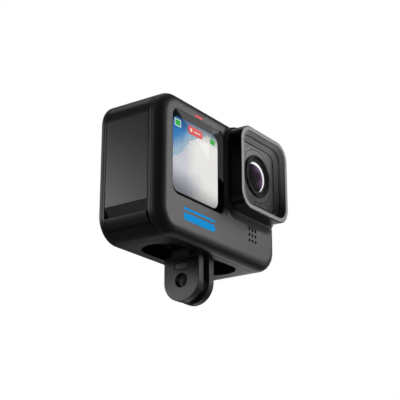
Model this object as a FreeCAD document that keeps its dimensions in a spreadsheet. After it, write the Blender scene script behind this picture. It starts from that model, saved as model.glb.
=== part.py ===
"""Action camera: front screen, twist-off square lens cover, hinged side door, two folding mount fingers.

Places are given as camera coordinates in millimetres: x from the middle, to the right seen from the
front, y backwards from the front face, and z upwards from the bottom face. The part's own frame has its
origin in the middle of the thumb-screw bore through the two fingers, so front_y and base_z carry one into
the other. Every place and size is an expression over the aliases of the sheet named sizes.
"""
import FreeCAD, Part

import math
import os
import re

import Sketcher

V = FreeCAD.Vector

SIZES = {
    # casing
    "front_y": -14.45, "base_z": 8.38,
    "body_w": 71.8, "body_d": 26.6, "body_tall": 50.8, "corner_r": 8.9,
    "wall": 2.2, "front_wall": 1.6, "front_fillet": 3.9, "rear_fillet": 1.35,
    "front_seam": 4.14, "rear_seam": 24.8, "seam_gap": 0.2, "seam_depth": 0.5,
    # front screen
    "screen_x": -14.525, "screen_z": 29.45, "screen_w": 30.55, "screen_tall": 30.9, "screen_r": 3.4,
    "glass_thick": 0.8, "glass_gap": 0.1, "glass_ledge": 1.3, "panel_thick": 1.8,
    "led_x": -14.35, "led_z": 46.0, "led_long": 4.7, "led_tall": 0.9,
    # generic front mark
    "mark_left": -23.3, "mark_right": -4.8, "mark_low": 6.2, "mark_bar": 2.6, "mark_line": 0.9,
    "mark_line_z": 10.2, "mark_deep": 0.25,
    # microphone and speaker grille
    "grille_x": 19.36, "grille_z": 11.24, "grille_pitch": 2.05, "grille_w": 1.1, "grille_tall": 1.2,
    # lens and its cover
    "lens_x": 17.65, "lens_z": 32.9,
    "island_y": -1.5, "plate_y": -3.3, "ring_r": 14.6, "ring_bore": 10.2, "flange_r": 15.35,
    "flange": 1.0, "ear_place": 11.6, "ear_r": 1.8, "screw_r": 0.5, "screw_head_r": 1.0,
    "barrel_r": 10.0, "boss_r": 7.95, "boss_y": -4.15, "element_r": 5.9, "dome_r": 12.73, "dome_y": -4.4,
    "inner_lens_r": 4.5, "inner_curve": 9.0,
    "cover_y": -7.0, "cover_back": -1.7, "cover_half": 15.9, "cover_r": 6.6,
    "mouth_half": 14.15, "mouth_r": 5.0, "window_y": -5.5, "window_half": 13.0, "window_r": 4.3,
    "window_thick": 0.9, "throat_y": -3.6, "throat_half": 11.35, "throat_r": 3.5,
    "bayonet_r": 15.25, "bayonet_bore": 14.68,
    # side door
    "door_front": 5.67, "door_rear": 23.56, "band_front": 5.42, "band_rear": 23.81,
    "land_x": -32.2, "land_low": 2.3, "land_top": 48.5, "land_r": 3.5,
    "door_in_x": -33.0, "door_in_low": 1.9, "door_in_top": 48.9, "door_in_r": 4.0,
    "door_seam": -26.2, "seam_open": 0.2, "hinge_x": -27.4, "hinge_z": 49.5, "knuckle_r": 1.3,
    "knuckle_clear": 0.12, "pin_r": 0.6, "pin_clear": 0.06, "pin_bite": 0.9,
    "gasket_thick": 0.7,
    # latch across the foot of the door
    "latch_low": 3.55, "latch_top": 11.0, "latch_in_x": -33.95, "latch_gap": 0.1, "scoop_low": 7.15,
    "scoop_deep": 1.35, "ridge_notch": 0.6, "slot_front": 12.9, "slot_rear": 20.1, "slot_low": 5.0,
    "slot_top": 9.6, "tongue_front": 13.2, "tongue_rear": 19.8, "tongue_low": 8.2, "tongue_top": 9.4,
    "tongue_long": 2.4, "spring_x": -33.6, "spring_thick": 0.4, "spring_front": 13.6, "spring_rear": 19.4,
    "spring_low": 5.05, "spring_rise": 0.95, "strip": 0.25,
    # battery compartment
    "cell_x": -29.6, "cell_w": 36.0, "cell_y": 10.75, "cell_thick": 11.3, "cell_z": 10.0, "cell_tall": 33.2,
    "contact_pitch": 2.5, "contact_wide": 1.2,
    # ports
    "port_y": 8.05, "usb_z": 34.0, "usb_wide": 3.2, "usb_tall": 8.94, "card_z": 18.4, "card_tall": 11.0,
    "card_thick": 0.75, "card_long": 14.5,
    # rear screen
    "rear_w": 61.6, "rear_tall": 40.6, "rear_r": 4.0, "rear_glass": 1.1, "rear_ledge": 2.3, "panel_y": 23.1,
    "rear_led_x": -27.0, "rear_led_z": 48.25, "rear_led_r": 0.7,
    # buttons
    "shutter_x": -14.5, "button_y": 13.3, "shutter_long": 12.8, "shutter_wide": 8.2, "shutter_proud": 0.8,
    "mode_z": 22.0, "mode_long": 12.4, "mode_wide": 5.4, "mode_proud": 0.3, "button_gap": 0.2,
    "skirt": 0.8, "seal_thick": 0.5, "ring_out": 2.7, "ring_in": 2.1, "ring_deep": 0.2,
    # folding fingers
    "recess_x": 0.5, "recess_long": 46.2, "recess_wide": 15.6, "recess_y": 14.4, "recess_deep": 4.0,
    "finger_y": 14.45, "finger_w": 14.9, "finger_in": 1.6, "finger_thick": 3.1, "bore_z": -8.38,
    "bore_r": 2.6, "finger_top": 0.2, "finger_round": 0.3, "pivot_x": 3.15, "pivot_z": 1.55,
    "finger_pin_r": 0.6, "lug_r": 1.25, "lug_in": 3.6, "lug_wide": 1.4, "lug_clear": 0.08,
    "roll_out": 2.25, "roll_in": 1.55, "roll_up": 2.05, "roll_down": 2.35, "recess_skin": 1.1,
    "pad_y": 14.57, "pad_z": -3.27, "pad_long": 5.75, "pad_wide": 2.7, "pad_gap": 0.27, "pad_deep": 0.5,
}

doc = FreeCAD.newDocument("action_camera")
sheet = doc.addObject("Spreadsheet::Sheet", "sizes")
for row, (alias, number) in enumerate(SIZES.items(), start=1):
    sheet.set(f"A{row}", alias)
    sheet.set(f"B{row}", str(number))
    sheet.setAlias(f"B{row}", alias)
doc.recompute()

parts = []


def ref(text):
    """Expression text with every alias pointed at the sheet."""
    return re.sub(r"[a-z]\w*", r"sizes.\g<0>", str(text))


def value(text):
    """What an expression over the aliases comes to."""
    return float(sheet.evalExpression(ref(text)))


def bind(thing, prop, text):
    thing.setExpression(prop, ref(text))


def place(thing, x, y, z):
    """Puts an object's own origin at camera coordinates x, y, z."""
    bind(thing, "Placement.Base.x", x)
    bind(thing, "Placement.Base.y", f"front_y + ({y})")
    bind(thing, "Placement.Base.z", f"base_z + ({z})")


def keep(thing, name):
    """Makes an object one of the camera's sub-parts."""
    thing.Label = name
    parts.append(thing)
    return thing


# Primitives -------------------------------------------------------------------------------------------


def box(name, low, high):
    """A block between two corners."""
    block = doc.addObject("Part::Box", name)
    for prop, a, b in zip(("Length", "Width", "Height"), low, high):
        bind(block, prop, f"({b}) - ({a})")
    place(block, *low)
    return block


def rod(name, start, length, radius):
    """A round bar that runs backwards from its start point."""
    bar = doc.addObject("Part::Cylinder", name)
    bar.Placement = FreeCAD.Placement(V(), FreeCAD.Rotation(V(1, 0, 0), -90))
    bind(bar, "Radius", radius)
    bind(bar, "Height", length)
    place(bar, *start)
    return bar


def ball(name, centre, radius):
    sphere = doc.addObject("Part::Sphere", name)
    bind(sphere, "Radius", radius)
    place(sphere, *centre)
    return sphere


def cut(name, base, tool):
    result = doc.addObject("Part::Cut", name)
    result.Base = base
    result.Tool = tool
    return result


def common(name, *shapes):
    result = doc.addObject("Part::MultiCommon", name)
    result.Shapes = list(shapes)
    return result


def fuse(name, *shapes):
    result = doc.addObject("Part::MultiFuse", name)
    result.Shapes = list(shapes)
    return result


def group(name, *shapes):
    """Several separate solids kept together as one sub-part."""
    result = doc.addObject("Part::Compound", name)
    result.Links = list(shapes)
    return result


# Sketches and features of a body ----------------------------------------------------------------------

# Each plane: the role of the body's own plane, which camera axes the sketch's x, y and normal follow, and
# the sign of that normal.
PLANES = {
    "front": ("XZ_Plane", (0, 2, 1), -1),
    "top": ("XY_Plane", (0, 1, 2), 1),
    "side": ("YZ_Plane", (1, 2, 0), 1),
}


def new_body(name):
    body = doc.addObject("PartDesign::Body", name)
    place(body, "0", "0", "0")
    return body


def sketch(body, plane, at):
    """A sketch on one of the body's own planes, its origin moved to camera coordinates."""
    role, order, sign = PLANES[plane]
    sk = body.newObject("Sketcher::SketchObject", f"{body.Name}_sketch")
    sk.AttachmentSupport = ([f for f in body.Origin.OriginFeatures if f.Role == role][0], [""])
    sk.MapMode = "FlatFace"
    for prop, axis, way in zip("xyz", order, (1, 1, sign)):
        bind(sk, f"AttachmentOffset.Base.{prop}", f"{way} * ({at[axis]})")
    return sk


def pin_down(sk, kind, name, text, *where):
    """Adds a dimension and binds it to an expression."""
    index = sk.addConstraint(Sketcher.Constraint(kind, *where, value(text)))
    sk.renameConstraint(index, name)
    bind(sk, f"Constraints.{name}", text)


def outline(sk, corners):
    """A closed outline through corners (x, y, radius) given as expressions; radius "0" stays sharp."""
    first = sk.GeometryCount
    spots = [V(value(x), value(y), 0) for x, y, _ in corners]
    count = len(spots)
    joins = []
    for i, (_, _, radius) in enumerate(corners):
        back = (spots[i - 1] - spots[i]).normalize()
        ahead = (spots[(i + 1) % count] - spots[i]).normalize()
        half = back.getAngle(ahead) / 2
        setback = value(radius) / math.tan(half)
        centre = spots[i] + (back + ahead).normalize() * (value(radius) / math.sin(half))
        joins.append((spots[i] + back * setback, centre, spots[i] + ahead * setback))
    for i in range(count):
        sk.addGeometry(Part.LineSegment(joins[i][2], joins[(i + 1) % count][0]), False)
    for i, (x, y, radius) in enumerate(corners):
        tag = f"{first}_{i}"
        mark = sk.addGeometry(Part.Point(spots[i]), True)
        coming, going = first + (i - 1) % count, first + i
        pin_down(sk, "DistanceX", f"across_{tag}", x, -1, 1, mark, 1)
        pin_down(sk, "DistanceY", f"up_{tag}", y, -1, 1, mark, 1)
        if value(radius) == 0:
            sk.addConstraint(Sketcher.Constraint("Coincident", coming, 2, mark, 1))
            sk.addConstraint(Sketcher.Constraint("Coincident", going, 1, mark, 1))
            continue
        start, centre, end = joins[i]
        turn = (start - centre).cross(end - centre).z
        ends = (start, end) if turn > 0 else (end, start)
        angles = [math.atan2((p - centre).y, (p - centre).x) for p in ends]
        circle = Part.Circle(centre, V(0, 0, 1), value(radius))
        arc = sk.addGeometry(Part.ArcOfCircle(circle, *angles), False)
        near, far = (1, 2) if turn > 0 else (2, 1)
        sk.addConstraint(Sketcher.Constraint("Tangent", coming, 2, arc, near))
        sk.addConstraint(Sketcher.Constraint("Tangent", arc, far, going, 1))
        sk.addConstraint(Sketcher.Constraint("PointOnObject", mark, 1, coming))
        sk.addConstraint(Sketcher.Constraint("PointOnObject", mark, 1, going))
        pin_down(sk, "Radius", f"round_{tag}", radius, arc)
    return sk


def rectangle(sk, low, high, radius="0"):
    """A rectangle between two corners of the sketch, all four corners rounded alike."""
    (x0, y0), (x1, y1) = low, high
    return outline(sk, [(x0, y0, radius), (x1, y0, radius), (x1, y1, radius), (x0, y1, radius)])


def slab_outline(sk, width, tall, radius="0"):
    """A rounded rectangle about the sketch's own origin."""
    low = (f"-({width}) / 2", f"-({tall}) / 2")
    return rectangle(sk, low, (f"({width}) / 2", f"({tall}) / 2"), radius)


def disc(sk, radius):
    """A circle about the sketch's own origin."""
    circle = sk.addGeometry(Part.Circle(V(), V(0, 0, 1), value(radius)), False)
    sk.addConstraint(Sketcher.Constraint("Coincident", circle, 3, -1, 1))
    pin_down(sk, "Radius", f"radius_{circle}", radius, circle)
    return sk


def pill(sk, long, wide, along_x=True):
    """A slot with round ends about the sketch's own origin."""
    reach = value(f"({long}) / 2 - ({wide}) / 2")
    radius = value(f"({wide}) / 2")
    ahead = V(1, 0, 0) if along_x else V(0, 1, 0)
    aside = V(0, 1, 0) if along_x else V(-1, 0, 0)
    turn = 0 if along_x else math.pi / 2
    arcs = []
    for sign in (1, -1):
        circle = Part.Circle(ahead * reach * sign, V(0, 0, 1), radius)
        base = turn + (0 if sign > 0 else math.pi)
        arc = Part.ArcOfCircle(circle, base - math.pi / 2, base + math.pi / 2)
        arcs.append(sk.addGeometry(arc, False))
    right, left = arcs
    far, rise = ahead * reach, aside * radius
    upper = sk.addGeometry(Part.LineSegment(far + rise, rise - far), False)
    lower = sk.addGeometry(Part.LineSegment(-far - rise, far - rise), False)
    sk.addConstraint(Sketcher.Constraint("Tangent", right, 2, upper, 1))
    sk.addConstraint(Sketcher.Constraint("Tangent", upper, 2, left, 1))
    sk.addConstraint(Sketcher.Constraint("Tangent", left, 2, lower, 1))
    sk.addConstraint(Sketcher.Constraint("Tangent", lower, 2, right, 1))
    sk.addConstraint(Sketcher.Constraint("Equal", right, left))
    axis = -1 if along_x else -2
    sk.addConstraint(Sketcher.Constraint("PointOnObject", right, 3, axis))
    sk.addConstraint(Sketcher.Constraint("Symmetric", right, 3, left, 3, -1, 1))
    kind = "DistanceX" if along_x else "DistanceY"
    pin_down(sk, kind, "reach", f"({long}) / 2 - ({wide}) / 2", -1, 1, right, 3)
    pin_down(sk, "Radius", "end_radius", f"({wide}) / 2", right)
    return sk


def normal_sign(sk):
    """+1 where the sketch's normal points along its camera axis, -1 where it points against it."""
    return -1 if sk.AttachmentSupport[0][0].Role == "XZ_Plane" else 1


def pad(body, sk, length, toward=1):
    """Adds material from the sketch, toward the + or - end of its camera axis."""
    feature = body.newObject("PartDesign::Pad", f"{body.Name}_pad")
    feature.Profile = sk
    bind(feature, "Length", length)
    feature.Reversed = toward != normal_sign(sk)
    doc.recompute()
    return feature


def must_shrink(body, before):
    doc.recompute()
    if body.Shape.Volume >= before - 1e-6:
        raise ValueError(f"a cut in {body.Label} removed nothing")


def pocket(body, sk, length, toward=1):
    """Removes material from the sketch, toward the + or - end of its camera axis."""
    before = body.Shape.Volume
    feature = body.newObject("PartDesign::Pocket", f"{body.Name}_pocket")
    feature.Profile = sk
    bind(feature, "Length", length)
    feature.Reversed = toward == normal_sign(sk)
    must_shrink(body, before)
    return feature


def hollow(body, low, high, radius="0"):
    """Cuts a rounded rectangular passage that runs front to back between two corners."""
    face = sketch(body, "front", ("0", low[1], "0"))
    sk = rectangle(face, (low[0], low[2]), (high[0], high[2]), radius)
    return pocket(body, sk, f"({high[1]}) - ({low[1]})")


def side_window(body, low, high, radius):
    """Cuts a rounded rectangular passage that runs left to right between two corners."""
    face = sketch(body, "side", (low[0], "0", "0"))
    sk = rectangle(face, (low[1], low[2]), (high[1], high[2]), radius)
    return pocket(body, sk, f"({high[0]}) - ({low[0]})")


def soften(body, radius, chosen):
    """Rounds the edges of the body's solid that the test picks."""
    base = body.Tip
    shape = base.Shape
    names = [f"Edge{i}" for i, edge in enumerate(shape.Edges, start=1) if chosen(edge.BoundBox)]
    if not names:
        raise ValueError(f"no edge of {body.Label} to round")
    feature = body.newObject("PartDesign::Fillet", f"{body.Name}_fillet")
    feature.Base = (base, names)
    bind(feature, "Radius", radius)
    doc.recompute()
    return feature


def turned(name, at, corners):
    """A piece turned about a front-to-back axis through at: its outline is (radius, y, 0) corners."""
    body = new_body(name)
    sk = outline(sketch(body, "top", (at[0], "0", at[1])), corners)
    feature = body.newObject("PartDesign::Revolution", f"{name}_turn")
    feature.Profile = sk
    feature.ReferenceAxis = (sk, ["V_Axis"])
    feature.Angle = 360
    doc.recompute()
    return keep(body, name)


def tube(name, at, inner, outer, y0, y1):
    """A plain ring about a front-to-back axis."""
    return turned(name, at, [(inner, y0, "0"), (outer, y0, "0"), (outer, y1, "0"), (inner, y1, "0")])


def in_plane(axis, level):
    """Picks edges that lie in the plane axis = level of the body's own frame."""
    low, high = f"{axis}Min", f"{axis}Max"
    return lambda b: abs(getattr(b, low) - level) < 1e-3 and abs(getattr(b, high) - level) < 1e-3


def slab(name, plane, at, width, tall, radius, thick):
    """A plate of rounded rectangular outline, standing on its sketch plane."""
    body = new_body(name)
    pad(body, slab_outline(sketch(body, plane, at), width, tall, radius), thick)
    return keep(body, name)


BODY_OUTLINE = (("-body_w / 2", "0"), ("body_w / 2", "body_tall"), "corner_r")
LENS = ("lens_x", "lens_z")


def casing_sketch(body, y):
    return rectangle(sketch(body, "front", ("0", y, "0")), *BODY_OUTLINE)


# Casing -----------------------------------------------------------------------------------------------


def front_cover():
    """Front shell with the screen window, the raised lens island, the grille and the status light."""
    body = new_body("front_cover")
    pad(body, casing_sketch(body, "0"), "front_seam")
    soften(body, "front_fillet", in_plane("Y", 0))

    # Island under the lens cover: steep beside the screen, a wider ramp below.
    island = [
        ("island_y", "1.35", "33.95", "16.55", "49.25", "6.9"),
        ("island_y + 0.35", "1.2", "34", "16.15", "49.3", "7"),
        ("-0.45", "0.98", "34.1", "15", "49.4", "7.1"),
        ("0.3", "0.86", "34.2", "13.9", "49.5", "7.2"),
        ("front_seam - 0.6", "0.8", "34.3", "13.5", "49.6", "7.3"),
    ]
    rings = []
    for y, x0, x1, z0, z1, radius in island:
        rings.append(rectangle(sketch(body, "front", ("0", y, "0")), (x0, z0), (x1, z1), radius))
    loft = body.newObject("PartDesign::AdditiveLoft", "island_loft")
    loft.Profile = rings[0]
    loft.Sections = rings[1:]
    loft.Ruled = False
    doc.recompute()

    hollow(body, ("wall - body_w / 2", "front_wall", "wall"),
           ("body_w / 2 - wall", "front_seam", "body_tall - wall"), "corner_r - wall")

    # Screen: a seat for the glass and a smaller opening behind it.
    screen = ("screen_x", "0", "screen_z")
    pocket(body, slab_outline(sketch(body, "front", screen), "screen_w", "screen_tall", "screen_r"),
           "glass_thick + glass_gap")
    ledge = ("screen_w - 2 * glass_ledge", "screen_tall - 2 * glass_ledge", "screen_r - glass_ledge + 0.4")
    pocket(body, slab_outline(sketch(body, "front", screen), *ledge), "front_wall")

    # Lens bore through the island, with blind holes for the ring's screws.
    lens_bore = disc(sketch(body, "front", (LENS[0], "island_y - 1", LENS[1])), "ring_r + 0.05")
    pocket(body, lens_bore, "front_wall + 4")
    for sx in (-1, 1):
        for sz in (-1, 1):
            at = (f"lens_x + {sx} * ear_place", "0.1", f"lens_z + {sz} * ear_place")
            pocket(body, disc(sketch(body, "front", at), "screw_r"), "front_wall")

    # Status light slot, mark inlays and grille.
    light = sketch(body, "front", ("led_x", "0", "led_z"))
    pocket(body, pill(light, "led_long", "led_tall"), "front_wall")
    for z, tall in mark_bars():
        pocket(body, mark_sketch(body, z, tall), "mark_deep")
    first_hole = sketch(body, "front", ("grille_x - grille_pitch", "0", "grille_z - grille_pitch"))
    hole = pocket(body, pill(first_hole, "grille_tall", "grille_w", False), "front_wall")
    repeat = body.newObject("PartDesign::LinearPattern", "grille_pattern")
    repeat.Originals = [hole]
    repeat.Direction = (hole.Profile[0], ["H_Axis"])
    repeat.Direction2 = (hole.Profile[0], ["V_Axis"])
    bind(repeat, "Length", "2 * grille_pitch")
    bind(repeat, "Length2", "2 * grille_pitch")
    repeat.Occurrences = 3
    repeat.Occurrences2 = 3
    body.Tip = repeat
    doc.recompute()
    return keep(body, "front_cover")


def mark_bars():
    """The two bars of the generic front mark: middle height and thickness."""
    return (("mark_low + mark_bar / 2", "mark_bar"), ("mark_line_z", "mark_line"))


def mark_sketch(body, z, tall):
    at = ("(mark_left + mark_right) / 2", "0", z)
    return pill(sketch(body, "front", at), "mark_right - mark_left", tall)


def front_mark():
    """Two plain coloured inlays in the front face."""
    bars = []
    for i, (z, tall) in enumerate(mark_bars()):
        bar = new_body(f"mark_bar_{i}")
        pad(bar, mark_sketch(bar, z, tall), "mark_deep")
        bars.append(bar)
    return keep(group("front_mark", *bars), "front_mark")


def main_housing():
    """Middle shell: a tube front to back, stepped in on the left to carry the side door."""
    body = new_body("main_housing")
    pad(body, casing_sketch(body, "front_seam"), "rear_seam - front_seam")
    through = ("front_seam", "rear_seam")
    inner_r = "corner_r - wall"
    main_room = outline(sketch(body, "front", ("0", through[0], "0")), [
        ("-25", "wall", "0.5"), ("body_w / 2 - wall", "wall", inner_r),
        ("body_w / 2 - wall", "body_tall - wall", inner_r), ("-25", "body_tall - wall", "0.5"),
    ])
    pocket(body, main_room, "rear_seam - front_seam")
    hollow(body, ("land_x + 1.8", through[0], "4.2"), ("-22", through[1], "46.6"), "2.5")

    # Shadow gaps beside the front cover and the rear bezel.
    for y in ("front_seam", "rear_seam - seam_gap"):
        sk = sketch(body, "front", ("0", y, "0"))
        rectangle(sk, ("-body_w", "-10"), ("body_w", "body_tall + 10"))
        rectangle(sk, ("seam_depth - body_w / 2", "seam_depth"),
                  ("body_w / 2 - seam_depth", "body_tall - seam_depth"), "corner_r - seam_depth")
        pocket(body, sk, "seam_gap")

    # Door band: the door lies round this land.
    sk = sketch(body, "front", ("0", "band_front", "0"))
    end = "door_seam + seam_open"
    outline(sk, [
        (end, "60", "0"), ("-45", "60", "0"), ("-45", "-5", "0"), (end, "-5", "0"),
        (end, "land_low", "0"), ("land_x", "land_low", "land_r"), ("land_x", "land_top", "land_r"),
        (end, "land_top", "0"),
    ])
    pocket(body, sk, "band_rear - band_front")
    hinge_hollow = disc(sketch(body, "front", ("hinge_x", "band_front", "hinge_z")),
                        "knuckle_r + knuckle_clear")
    pocket(body, hinge_hollow, "band_rear - band_front")
    pin_hole = disc(sketch(body, "front", ("hinge_x", "band_front - pin_bite", "hinge_z")), "pin_r")
    pocket(body, pin_hole, "band_rear - band_front + 2 * pin_bite - 0.1")

    # Windows behind the door for the battery, the USB port and the memory card.
    side_window(body, ("-34", "10.4", "6.4"), ("-30", "22.4", "44"), "1.2")
    side_window(body, ("-34", "port_y - 1.75", "usb_z - 4.65"),
                ("-30", "port_y + 1.75", "usb_z + 4.65"), "1.74")
    side_window(body, ("-34", "6.9", "card_z - card_tall / 2 - 0.3"),
                ("-30", "8.1", "card_z + card_tall / 2 + 0.3"), "0.4")

    # Recess for the folded fingers, button holes and the side microphone.
    recess = sketch(body, "top", ("recess_x", "recess_y", "0"))
    pocket(body, pill(recess, "recess_long", "recess_wide"), "wall")
    gaps = "+ 2 * button_gap"
    hole = sketch(body, "top", ("shutter_x", "button_y", "40"))
    pocket(body, pill(hole, f"shutter_long {gaps}", f"shutter_wide {gaps}"), "20")
    hole = sketch(body, "side", ("30", "button_y", "mode_z"))
    pocket(body, pill(hole, f"mode_long {gaps}", f"mode_wide {gaps}", False), "10")
    pocket(body, disc(sketch(body, "side", ("30", "button_y", "37")), "0.45"), "10")
    return keep(body, "main_housing")


def rear_bezel():
    """Rear frame round the touch screen."""
    body = new_body("rear_bezel")
    pad(body, casing_sketch(body, "rear_seam"), "body_d - rear_seam")
    soften(body, "rear_fillet", in_plane("Y", value("body_d")))
    middle = ("0", "body_d", "body_tall / 2")
    pocket(body, slab_outline(sketch(body, "front", middle), "rear_w", "rear_tall", "rear_r"),
           "rear_glass", -1)
    inner = ("rear_w - 2 * rear_ledge", "rear_tall - 2 * rear_ledge", "rear_r - 1")
    pocket(body, slab_outline(sketch(body, "front", middle), *inner), "body_d - rear_seam", -1)
    light = disc(sketch(body, "front", ("rear_led_x", "body_d", "rear_led_z")), "rear_led_r")
    pocket(body, light, "body_d - rear_seam", -1)
    return keep(body, "rear_bezel")


# Screens, lights and front pieces ---------------------------------------------------------------------


def front_screen():
    """Cover glass flush with the front face, and the display behind its ledge."""
    at = ("screen_x", "0.05", "screen_z")
    clear = "2 * glass_gap"
    slab("front_display_glass", "front", at, f"screen_w - {clear}", f"screen_tall - {clear}",
         "screen_r - 0.1", "glass_thick")
    ledge = "(2 * glass_ledge + 0.4)"
    behind = ("screen_x", "glass_thick + glass_gap", "screen_z")
    slab("front_display_panel", "front", behind, f"screen_w - {ledge}", f"screen_tall - {ledge}",
         "screen_r - 1", "panel_thick")
    light = new_body("status_light_front")
    face = sketch(light, "front", ("led_x", "0.05", "led_z"))
    pad(light, pill(face, "led_long - 0.1", "led_tall - 0.1"), "front_wall + 0.3")
    keep(light, "status_light_front")


def rear_screen():
    """Touch glass in the rear bezel, its display and the rear status light."""
    at = ("0", "body_d - rear_glass", "body_tall / 2")
    slab("rear_touch_glass", "front", at, "rear_w - 0.2", "rear_tall - 0.2", "rear_r - 0.1", "rear_glass")
    panel = ("0", "panel_y", "body_tall / 2")
    inset = "(2 * rear_ledge + 0.6)"
    slab("rear_display_panel", "front", panel, f"rear_w - {inset}", f"rear_tall - {inset}", "rear_r - 1",
         "body_d - 0.05 - rear_glass - panel_y")
    light = rod("status_light_rear", ("rear_led_x", "25.2", "rear_led_z"), "body_d - 0.05 - 25.2",
                "rear_led_r - 0.05")
    keep(light, "status_light_rear")


def sound_pieces():
    """Speaker behind the grille, its mesh, and the side microphone."""
    half = "(grille_pitch + 1.8)"
    keep(box("speaker_mesh", (f"grille_x - {half}", "front_wall", f"grille_z - {half}"),
             (f"grille_x + {half}", "front_wall + 0.2", f"grille_z + {half}")), "speaker_mesh")
    keep(box("speaker", ("12.4", "front_wall + 0.3", "6.2"), ("26.4", "5.4", "16.2")), "speaker")
    keep(box("microphone", ("32.4", "button_y - 1.6", "35.6"), ("33.6", "button_y + 1.6", "38.4")),
         "microphone")


# Lens -------------------------------------------------------------------------------------------------


def lens_mount():
    """Round plate in the island that carries the barrel; four screws hold its flange to the front wall."""
    body = new_body("lens_mount_ring")
    plate = disc(sketch(body, "front", (LENS[0], "plate_y", LENS[1])), "ring_r")
    pad(body, plate, "front_wall - plate_y + flange")
    pad(body, disc(sketch(body, "front", (LENS[0], "front_wall", LENS[1])), "flange_r"), "flange")
    corners = [(sx, sz) for sx in (-1, 1) for sz in (-1, 1)]
    ears = [(f"lens_x + {sx} * ear_place", f"lens_z + {sz} * ear_place") for sx, sz in corners]
    for x, z in ears:
        pad(body, disc(sketch(body, "front", (x, "front_wall", z)), "ear_r"), "flange")
    pocket(body, disc(sketch(body, "front", (LENS[0], "plate_y", LENS[1])), "ring_bore"), "8")
    for x, z in ears:
        pocket(body, disc(sketch(body, "front", (x, "front_wall", z)), "screw_r"), "flange")
    keep(body, "lens_mount_ring")

    screws = []
    for i, (x, z) in enumerate(ears):
        shank = rod(f"ring_screw_shank_{i}", (x, "0.2", z), "front_wall + flange - 0.2", "screw_r")
        head = rod(f"ring_screw_head_{i}", (x, "front_wall + flange", z), "0.7", "screw_head_r")
        screws.append(fuse(f"ring_screw_{i}", shank, head))
    keep(group("lens_ring_screws", *screws), "lens_ring_screws")


def lens_stack():
    """Barrel, three elements, spacer, filter, sensor and its board, front to back on one axis."""
    seat = "-2.95"
    turned("lens_barrel", LENS, [
        ("barrel_r", "plate_y", "0"), ("barrel_r", "9", "0"), ("4.6", "9", "0"), ("4.6", "-0.2", "0"),
        ("element_r + 0.05", "-0.2", "0"), ("element_r + 0.05", seat, "0"), ("6.8", seat, "0"),
        ("6.8", "-3.35", "0"), ("7.3", "boss_y", "0"), ("boss_r", "boss_y", "0.25"),
        ("boss_r", "plate_y", "0"),
    ])
    tube("lens_retaining_ring", LENS, "element_r - 0.15", "6.75", "-3.36", "-3.06")

    axis = (LENS[0], "0", LENS[1])
    blank = rod("front_blank", (axis[0], "dome_y", axis[2]), "-0.25 - dome_y", "element_r")
    dome = ball("front_dome", (axis[0], "dome_y + dome_r", axis[2]), "dome_r")
    bowl = ball("front_bowl", (axis[0], "-0.25 + 2.6", axis[2]), "4.2")
    keep(cut("front_lens_element", common("front_meniscus", blank, dome), bowl), "front_lens_element")
    for name, front, back in (("middle_lens_element", "0.5", "3.1"), ("rear_lens_element", "5.6", "8")):
        blank = rod(f"{name}_blank", (axis[0], front, axis[2]), f"{back} - {front}", "inner_lens_r")
        near = ball(f"{name}_near", (axis[0], f"{front} + inner_curve", axis[2]), "inner_curve")
        far = ball(f"{name}_far", (axis[0], f"{back} - inner_curve", axis[2]), "inner_curve")
        keep(common(name, blank, near, far), name)
    tube("lens_spacer", LENS, "3.9", "4.55", "3.2", "5.5")

    def centred(name, wide, y0, y1, tall):
        low = (f"lens_x - {wide} / 2", y0, f"lens_z - {tall} / 2")
        return box(name, low, (f"lens_x + {wide} / 2", y1, f"lens_z + {tall} / 2"))

    keep(centred("ir_filter", "9", "9.1", "9.5", "7.6"), "ir_filter")
    keep(cut("sensor_holder", centred("holder_block", "18", "9", "11.3", "18"),
             centred("holder_window", "11", "8", "12", "9.4")), "sensor_holder")
    keep(centred("image_sensor", "10", "9.8", "11.3", "8.4"), "image_sensor")
    keep(centred("sensor_board", "19", "11.3", "12.3", "19"), "sensor_board")


def lens_cover():
    """Square twist-off cover: hooded frame, flat window and bayonet ring, turning about the lens axis."""
    body = new_body("lens_cover_frame")
    front = (LENS[0], "cover_y", LENS[1])
    square = slab_outline(sketch(body, "front", front), "2 * cover_half", "2 * cover_half", "cover_r")
    pad(body, square, "cover_back - cover_y")
    soften(body, "0.5", in_plane("Y", value("cover_y")))

    # The hood narrows in two steps, before and behind the window's ledge.
    hood = [
        (("cover_y - 0.02", "mouth_half + 0.02", "mouth_r"), ("window_y", "window_half", "window_r")),
        (("window_y + window_thick - 0.02", "window_half - 0.6", "window_r - 0.4"),
         ("throat_y", "throat_half", "throat_r")),
    ]
    for sections in hood:
        before = body.Shape.Volume
        rings = []
        for y, half, radius in sections:
            sk = sketch(body, "front", (LENS[0], y, LENS[1]))
            rings.append(slab_outline(sk, f"2 * ({half})", f"2 * ({half})", radius))
        taper = body.newObject("PartDesign::SubtractiveLoft", "hood_taper")
        taper.Profile = rings[0]
        taper.Sections = rings[1:]
        taper.Ruled = True
        must_shrink(body, before)
    seat = sketch(body, "front", (LENS[0], "window_y - 0.02", LENS[1]))
    pocket(body, slab_outline(seat, "2 * window_half", "2 * window_half", "window_r"), "window_thick")
    pocket(body, disc(sketch(body, "front", (LENS[0], "throat_y", LENS[1])), "bayonet_r"), "3")
    keep(body, "lens_cover_frame")

    glass = (LENS[0], "window_y", LENS[1])
    slab("lens_cover_glass", "front", glass, "2 * window_half - 0.06", "2 * window_half - 0.06",
         "window_r", "window_thick - 0.04")
    tube("lens_cover_bayonet", LENS, "bayonet_bore", "bayonet_r - 0.02", "throat_y + 0.1",
         "cover_back - 0.05")


# Side door --------------------------------------------------------------------------------------------


def door_shell(name, y0, y1):
    """A body cut from the casing's outline over a stretch of its depth."""
    body = new_body(name)
    pad(body, casing_sketch(body, y0), f"{y1} - {y0}")
    return body


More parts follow.
